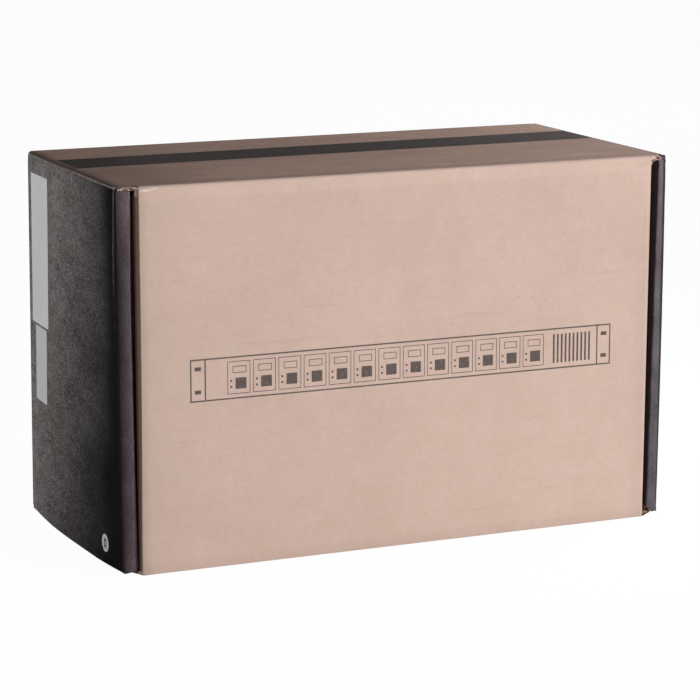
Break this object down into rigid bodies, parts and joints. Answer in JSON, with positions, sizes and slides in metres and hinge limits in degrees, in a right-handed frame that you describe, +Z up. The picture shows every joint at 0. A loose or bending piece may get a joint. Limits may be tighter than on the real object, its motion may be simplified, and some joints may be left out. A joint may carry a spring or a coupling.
{
  "type": "shipping carton",
  "caption": "Closed roll-end tuck-front corrugated carton for a rack device, with dark printed side walls, hinged lid, tuck flap, lid ears and foam end cushions.",
  "frame": {"origin": "middle of the carton's footprint, on the surface that its front wall stands on", "axes": "+X along the lid hinge to the right as seen from the lid side, +Y from the lid to the base panel, +Z up from the front wall to the back wall"},
  "size_m": [0.3402, 0.168, 0.2185],
  "materials": {
    "kraft_board": "matte",
    "kraft_inside": "matte",
    "dark_print": "matte",
    "label_paper": "satin",
    "seal_paper": "satin",
    "foam": "matte"
  },
  "bodies": {
    "box": {"base_panel": "kraft_board", "back_wall": "kraft_board", "back_flap_left": "kraft_inside", "back_flap_right": "kraft_inside", "front_wall": "kraft_board", "front_flap_left": "kraft_inside", "front_flap_right": "kraft_inside", "outer_wall_left": "dark_print", "outer_wall_right": "dark_print", "spine_left": "dark_print", "spine_right": "dark_print", "inner_wall_left": "kraft_inside", "inner_wall_right": "kraft_inside", "end_cushion_left": "foam", "end_cushion_right": "foam", "label_large": "label_paper", "label_small": "label_paper", "round_seal": "seal_paper"},
    "lid": {"lid_panel": "kraft_board"},
    "flap": {"tuck_flap": "kraft_board"},
    "ear_left": {"lid_ear_left": "kraft_inside"},
    "ear_right": {"lid_ear_right": "kraft_inside"}
  },
  "joints": [
    {"name": "lid_hinge", "type": "hinge", "parent": "box", "child": "lid", "pos_m": [0, -0.0826, 0.2171], "axis": [-1, 0, 0], "range_deg": [0, 140]},
    {"name": "flap_crease", "type": "hinge", "parent": "lid", "child": "flap", "pos_m": [0, -0.08105, 0.00695], "axis": [1, 0, 0], "range_deg": [0, 88]},
    {"name": "ear_crease_left", "type": "hinge", "parent": "lid", "child": "ear_left", "pos_m": [-0.15475, -0.08105, 0.1], "axis": [0, 0, -1], "range_deg": [0, 80]},
    {"name": "ear_crease_right", "type": "hinge", "parent": "lid", "child": "ear_right", "pos_m": [0.15795, -0.08105, 0.1], "axis": [0, 0, 1], "range_deg": [0, 80]}
  ],
  "couplings": [
    {"joint": "flap_crease", "follows": "lid_hinge", "ratio": 0.625}
  ]
}
